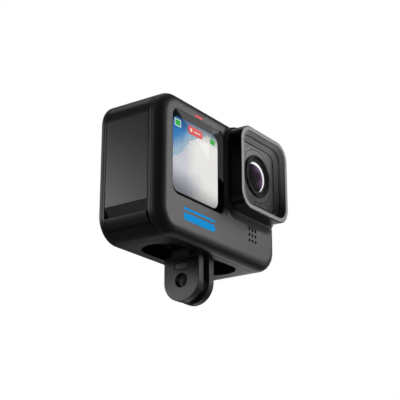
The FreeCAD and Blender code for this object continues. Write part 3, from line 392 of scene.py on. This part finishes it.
def front_glass_look():
    """Gloss glass over the live picture: sky, a snow slope, a recording pill and two charge marks, with a
    painted reflection on the right border.
    """
    t = Tree("front_glass_look")
    x, z = t.camera_x(), t.camera_z()

    def past(value, low, high):
        """How far value is outside low..high."""
        from_middle = t.math("ABSOLUTE", t.math("SUBTRACT", value, (low + high) / 2))
        return t.math("MAXIMUM", t.math("SUBTRACT", from_middle, (high - low) / 2), 0)

    def window(left, right, bottom, top, radius):
        """1 inside a rectangle with rounded corners."""
        away = t.length(past(x, left + radius, right - radius), past(z, bottom + radius, top - radius))
        return t.spread(away, radius, radius - 0.16)

    # The slope's skyline rises to the right in three stretches, with crags.
    broad, crag, fine = t.noise(0.09, 3), t.noise(0.5, 4, 0.6), t.noise(1.6, 4, 0.6)
    skyline = t.math("ADD", t.spread(x, -29.8, -24, 26.4, 30), t.spread(x, -24, -19.5, 0, 5.6))
    skyline = t.math("ADD", skyline, t.spread(x, -19.5, -9, 0, 5.2))
    skyline = t.math("ADD", skyline, t.math("MULTIPLY_ADD", crag, 2.2, -1.1))
    above = t.math("SUBTRACT", z, skyline)
    haze = t.blend(t.spread(above, 1, 8, smooth=True), (0.34, 0.48, 0.59), (0.045, 0.21, 0.50))
    sky = t.blend(t.spread(above, 7, 13), haze, (0.02, 0.16, 0.46))
    snow = t.blend(t.spread(x, -22, -16), (0.62, 0.63, 0.68), (0.84, 0.83, 0.80))
    drift = t.times(t.spread(broad, 0.45, 0.62, smooth=True), t.spread(z, 30, 22))
    snow = t.blend(t.math("MULTIPLY", drift, 0.35), snow, (0.46, 0.48, 0.58))
    # A few rocks close below the skyline.
    rock = t.times(t.spread(fine, 0.53, 0.6), t.spread(above, -3.4, -0.6))
    snow = t.blend(t.math("MULTIPLY", rock, 0.75), snow, (0.24, 0.27, 0.34))

    # The picture darkens toward its bottom and top.
    scene = t.blend(t.spread(above, 0.12, -0.12), sky, snow)
    low = t.spread(t.math("MULTIPLY_ADD", x, 0.2, z), 9, 21, 0.25, 1, smooth=True)
    high = t.spread(z, 42.4, 37, 0.3, 1)
    scene = t.blend(t.times(low, high), (0.012, 0.018, 0.03), scene)

    # Recording pill with a dot and a bar, and two charge marks, the left one framed.
    marks = (
        (window(-21.0, -12.0, 37.9, 41.1, 1.55), (0.66, 0.05, 0.04)),
        (window(-19.9, -18.3, 38.7, 40.3, 0.8), (0.85, 0.6, 0.58)),
        (window(-17.3, -13.4, 39.2, 39.8, 0.3), (0.85, 0.6, 0.58)),
        (window(-28.75, -24.9, 38.2, 41.1, 0.4), (0.55, 0.72, 0.78)),
        (window(-28.3, -25.35, 38.6, 40.7, 0.15), (0.004, 0.42, 0.02)),
        (window(-7.6, -4.7, 38.2, 40.3, 0.2), (0.06, 0.45, 0.09)),
    )
    for mask, colour in marks:
        scene = t.blend(mask, scene, colour)
    # The lens cover hides the lamps from the right border, so a painted reflection with a slanting lower edge
    # stands in for its sheen.
    lower_edge = t.math("MULTIPLY_ADD", x, 0.33, z)
    sheen = t.times(t.spread(lower_edge, 26.2, 26.9), t.spread(x, -6.7, -6.2))
    border = t.blend(sheen, (0, 0, 0), (0.03, 0.03, 0.031))
    glass = t.blend(t.noise(3, 2), (0.003, 0.003, 0.0032), (0.004, 0.004, 0.0042))
    smear = t.noise(0.2, 4, 0.6)
    return t.set(colour=glass, glow=t.blend(window(*PICTURE, PICTURE_RADIUS), border, scene), glow_power=0.95,
                 rough=t.spread(smear, 0.4, 0.75, 0.015, 0.03), shine=0.3)


def rear_glass_look():
    """Gloss touch glass, the display's area a shade lighter than the border, with faint smears."""
    t = Tree("rear_glass_look")
    half_wide, half_tall = REAR_PICTURE_HALF
    across = t.math("ABSOLUTE", t.camera_x())
    up = t.math("ABSOLUTE", t.math("SUBTRACT", t.camera_z(), REAR_PICTURE_Z))
    active = t.times(t.spread(across, half_wide + 0.1, half_wide), t.spread(up, half_tall + 0.1, half_tall))
    smear = t.noise(0.06, 2, 0.5)
    return t.set(colour=t.blend(active, (0.0025, 0.0025, 0.003), (0.006, 0.0065, 0.008)),
                 rough=t.spread(smear, 0.3, 0.8, 0.06, 0.075), shine=0.5)


def inlay(name, colour, glow=0.0, shine=0.3):
    """A small coloured inlay or light pipe. Its glow is lamp light in a light pipe and painted light on an
    inlay.
    """
    t = Tree(name)
    fine = t.noise(5, 2)
    tone = t.blend(fine, *shades(colour, 0.9, 1))
    return t.set(colour=tone, rough=t.spread(fine, 0.3, 0.7, 0.3, 0.4), glow=tone, glow_power=glow,
                 shine=shine, normal=t.bump(fine, 0.003))


FINGER = finger_look()
RING = ring_look()
COVER = cover_look()
WINDOW = window_look()
LENS = lens_look()
INNER_LENS = clear_glass("inner_lens_look", (0.85, 0.8, 0.95))
FILTER = clear_glass("filter_glass_look", (0.5, 0.85, 0.85))
FRONT_GLASS = front_glass_look()
REAR_GLASS = rear_glass_look()
LIGHT = inlay("status_light_look", (0.85, 0.035, 0.03), 0.55)
# The blue mark is no lamp: its glow is painted light.
MARK = inlay("mark_blue_look", (0.001, 0.26, 0.64), 0.6, shine=0.02)
RED = inlay("ring_red_look", (0.5, 0.02, 0.015))

LOOKS = {
    SHELL: ("main_housing", "rear_bezel", "mount_base"),
    FRONT: ("front_cover",),
    DOOR: ("side_door",),
    LATCH: ("door_latch",),
    FINGER: ("mount_finger_left", "mount_finger_right"),
    PAD: ("finger_pad_left", "finger_pad_right"),
    BAY: ("battery_bay", "speaker", "microphone"),
    BUTTON: ("shutter_button", "mode_button"),
    CHIP: ("shutter_switch", "mode_switch", "image_sensor", "processor", "microsd_card", "usb_c_tongue",
           "front_display_panel", "rear_display_panel"),
    WRAP: ("battery",),
    RING: ("lens_mount_ring", "lens_barrel"),
    BARREL: ("lens_retaining_ring", "lens_spacer", "sensor_holder"),
    STEEL: ("lens_ring_screws", "lens_cover_bayonet"),
    SPRING: ("door_hinge_pin", "latch_spring", "finger_pin_left", "finger_pin_right"),
    PORT: ("usb_c_port", "card_slot"),
    TIN: ("processor_shield",),
    PLATE: ("heat_spreader",),
    GOLD: ("battery_contacts",),
    MESH: ("speaker_mesh",),
    SEAL: ("door_gasket", "shutter_seal", "mode_seal"),
    TAB: ("battery_pull_tab",),
    BOARD: ("main_board", "button_board", "sensor_board"),
    COVER: ("lens_cover_frame",),
    WINDOW: ("lens_cover_glass",),
    LENS: ("front_lens_element",),
    INNER_LENS: ("middle_lens_element", "rear_lens_element"),
    FILTER: ("ir_filter",),
    FRONT_GLASS: ("front_display_glass",),
    REAR_GLASS: ("rear_touch_glass",),
    LIGHT: ("status_light_front", "status_light_rear"),
    MARK: ("front_mark",),
    RED: ("shutter_ring",),
}
for look, names in LOOKS.items():
    for name in names:
        nodes[name].data.materials.clear()
        nodes[name].data.materials.append(look)

# Stage, light and view ------------------------------------------------------------------------------------

# Plain paper well below the camera, with a glow of its own and hidden from reflections.
FLOOR_HALF, FLOOR_Z = 3.0, -0.33
corners = [(x * FLOOR_HALF, y * FLOOR_HALF, FLOOR_Z) for x, y in ((-1, -1), (1, -1), (1, 1), (-1, 1))]
floor_mesh = bpy.data.meshes.new("floor")
floor_mesh.from_pydata(corners, [], [(0, 1, 2, 3)])
floor = bpy.data.objects.new("floor", floor_mesh)
bpy.context.scene.collection.objects.link(floor)
paper = Tree("floor_paper")
paper.set(colour=paper.blend(paper.noise(0.02, 3), (0.80, 0.80, 0.81), (0.84, 0.84, 0.85)), rough=0.9,
          glow=WHITE, glow_power=0.6)
floor.data.materials.append(paper.material)
floor.visible_glossy = False
floor.visible_diffuse = False

# The room is white to the view, but adds only a little fill light.
world = bpy.data.worlds.new("studio")
bpy.context.scene.world = world
world.use_nodes = True
tree = world.node_tree
seen, fill = tree.nodes["Background"], tree.nodes.new("ShaderNodeBackground")
for background, strength in ((seen, 1.0), (fill, 0.08)):
    background.inputs["Color"].default_value = (*WHITE, 1)
    background.inputs["Strength"].default_value = strength
path, mix = tree.nodes.new("ShaderNodeLightPath"), tree.nodes.new("ShaderNodeMixShader")
tree.links.new(path.outputs["Is Camera Ray"], mix.inputs[0])
tree.links.new(fill.outputs[0], mix.inputs[1])
tree.links.new(seen.outputs[0], mix.inputs[2])
tree.links.new(mix.outputs[0], tree.nodes["World Output"].inputs["Surface"])


def facing(direction, roll):
    """Turns an object's Z axis to the direction, then rolls it about that axis."""
    return direction.to_track_quat("Z", "Y").to_matrix().to_4x4() @ Matrix.Rotation(roll, 4, "Z")


CARD_AIM = row(0, 0, 26)
CARD_DISTANCE = 0.7


def card(name, azimuth, elevation, wide, tall, radiance, roll=0.0):
    """A soft box seen from CARD_AIM in that direction, its width and height given as angles.

    Azimuth is 0 to the camera's right (+X) and -90 straight in front of the lens. All angles are in degrees.
    Radiance 1 looks white.
    """
    turn, rise = math.radians(azimuth), math.radians(elevation)
    away = Vector((math.cos(rise) * math.cos(turn), math.cos(rise) * math.sin(turn), math.sin(rise)))
    light = bpy.data.lights.new(name, "AREA")
    light.shape = "RECTANGLE"
    light.size = 2 * CARD_DISTANCE * math.tan(math.radians(wide) / 2)
    light.size_y = 2 * CARD_DISTANCE * math.tan(math.radians(tall) / 2)
    light.energy = radiance * math.pi * light.size * light.size_y
    lamp = bpy.data.objects.new(name, light)
    lamp.matrix_world = Matrix.Translation(CARD_AIM + away * CARD_DISTANCE) @ facing(away, math.radians(roll))
    lamp.visible_camera = False
    bpy.context.scene.collection.objects.link(lamp)


card("front_card", -50.5, 13.5, 20, 29, 6.1)
card("haze_card", -70, 30, 34, 20, 0.9)
card("wedge_card", -26.9, 27.3, 18, 28, 1.45, roll=29.3)
card("low_right_card", -28, -9, 14, 14, 1.4)
card("left_card", 130.5, 9.5, 24, 20, 5.6)
card("back_card", 19, 12, 26, 34, 2.3)
card("low_back_card", 26, -15, 12, 20, 2.0)
card("floor_card", 19, -38, 38, 20, 0.7)
card("floor_left_card", 66, -24, 30, 20, 0.5)
card("top_card", 70, 70, 40, 36, 0.5)
card("rear_card", 100, 26, 28, 24, 0.35)

# From the front left and a little below.
EYE_PLACE = (-0.30362, -0.21735, -0.09887)
EYE_AZIMUTH, EYE_ELEVATION, EYE_ROLL = map(math.radians, (-55.0, -19.144, -0.03))
view = bpy.data.cameras.new("view")
view.sensor_width = 36
view.lens = 98.96
view.clip_start, view.clip_end = 0.01, 20
eye = bpy.data.objects.new("view", view)
bpy.context.scene.collection.objects.link(eye)
level = math.cos(EYE_ELEVATION)
back = Vector((math.sin(EYE_AZIMUTH) * level, -math.cos(EYE_AZIMUTH) * level, math.sin(EYE_ELEVATION)))
eye.matrix_world = Matrix.Translation(EYE_PLACE) @ facing(back, EYE_ROLL)
bpy.context.scene.camera = eye

bpy.context.scene.view_settings.view_transform = "Standard"
bpy.context.scene.view_settings.look = "None"

# The latch's return spring gets a mesh of its own.
spring = nodes["latch_spring"]
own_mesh(spring)
